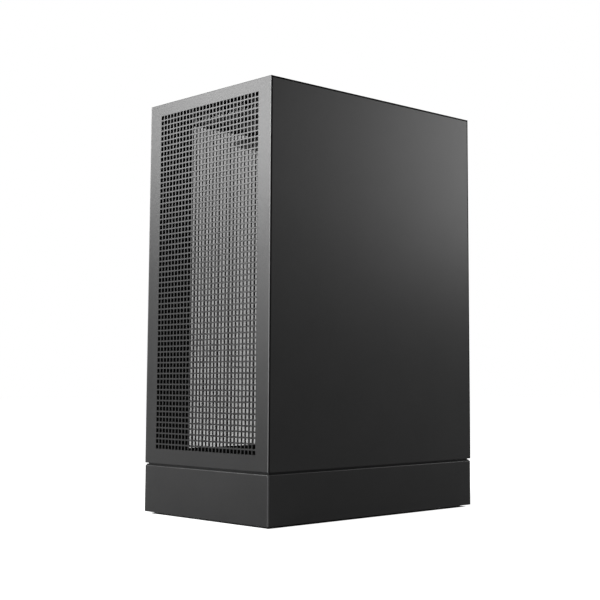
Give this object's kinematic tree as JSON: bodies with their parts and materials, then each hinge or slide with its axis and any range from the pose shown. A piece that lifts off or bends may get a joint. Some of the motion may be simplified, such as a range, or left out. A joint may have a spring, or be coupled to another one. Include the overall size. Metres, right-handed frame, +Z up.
{
  "type": "small upright computer case",
  "caption": "Dark steel tower case with perforated front, a plain side panel and a hollow plinth, built round a central tray with a top fan.",
  "frame": {"origin": "bottom centre, on the surface that the feet stand on", "axes": "+Z up, the perforated front faces -Y, the plain side panel is at +X"},
  "size_m": [0.187, 0.274, 0.405],
  "materials": {
    "outer_steel": "satin",
    "chassis_steel": "satin",
    "black_nylon": "matte",
    "fan_plastic": "satin",
    "black_screws": "satin",
    "brass_standoffs": "satin",
    "circuit_board": "satin",
    "port_metal": "satin",
    "button_metal": "satin",
    "foot_rubber": "matte"
  },
  "bodies": {
    "chassis": {"floor_pan": "chassis_steel", "front_frame": "chassis_steel", "rear_frame": "chassis_steel", "left_side_frame": "chassis_steel", "right_side_frame": "chassis_steel", "top_fan_plate": "chassis_steel", "centre_tray": "chassis_steel", "board_standoffs": "brass_standoffs", "supply_bracket": "chassis_steel", "riser_socket": "black_nylon", "riser_board": "circuit_board", "riser_bracket": "chassis_steel", "slot_cover_1": "chassis_steel", "slot_cover_2": "chassis_steel", "slot_cover_3": "chassis_steel", "slot_cover_screws": "black_screws", "power_inlet": "black_nylon", "fan_frame": "fan_plastic", "fan_screws": "black_screws", "front_snap_sockets": "black_nylon", "rear_snap_sockets": "black_nylon", "left_snap_sockets": "black_nylon", "right_snap_sockets": "black_nylon", "top_snap_sockets": "black_nylon", "module_bracket": "chassis_steel", "module_board": "circuit_board", "usb_a_left_port": "port_metal", "usb_a_right_port": "port_metal", "usb_c_port": "port_metal", "audio_jack": "black_nylon", "button_guide": "black_nylon", "power_switch": "black_nylon", "plinth_skirt": "outer_steel", "plinth_screws": "black_screws", "rubber_feet": "foot_rubber"},
    "front_panel": {"front_mesh_panel": "outer_steel", "front_panel_snap_tabs": "black_nylon"},
    "rear_panel": {"rear_mesh_panel": "outer_steel", "rear_panel_snap_tabs": "black_nylon"},
    "left_panel": {"left_mesh_panel": "outer_steel", "left_panel_snap_tabs": "black_nylon"},
    "right_panel": {"right_side_panel": "outer_steel", "right_panel_snap_tabs": "black_nylon"},
    "top_panel": {"top_mesh_panel": "outer_steel", "top_panel_snap_tabs": "black_nylon"},
    "power_button": {"power_button": "button_metal"},
    "fan_rotor": {"fan_rotor": "fan_plastic"}
  },
  "joints": [
    {"name": "front_panel_pull", "type": "slide", "parent": "chassis", "child": "front_panel", "axis": [0, -1, 0], "range_m": [0, 0.04]},
    {"name": "rear_panel_pull", "type": "slide", "parent": "chassis", "child": "rear_panel", "axis": [0, 1, 0], "range_m": [0, 0.04]},
    {"name": "left_panel_pull", "type": "slide", "parent": "chassis", "child": "left_panel", "axis": [-1, 0, 0], "range_m": [0, 0.04]},
    {"name": "right_panel_pull", "type": "slide", "parent": "chassis", "child": "right_panel", "axis": [1, 0, 0], "range_m": [0, 0.04]},
    {"name": "top_panel_lift", "type": "slide", "parent": "chassis", "child": "top_panel", "axis": [0, 0, 1], "range_m": [0, 0.04]},
    {"name": "power_button_press", "type": "slide", "parent": "chassis", "child": "power_button", "axis": [0, 0, -1], "range_m": [0, 0.0015], "stiffness_N_per_m": 600, "springref_m": -0.002},
    {"name": "fan_spin", "type": "hinge", "parent": "chassis", "child": "fan_rotor", "pos_m": [0, 0.0155, 0.385], "axis": [0, 0, 1], "continuous": true}
  ]
}
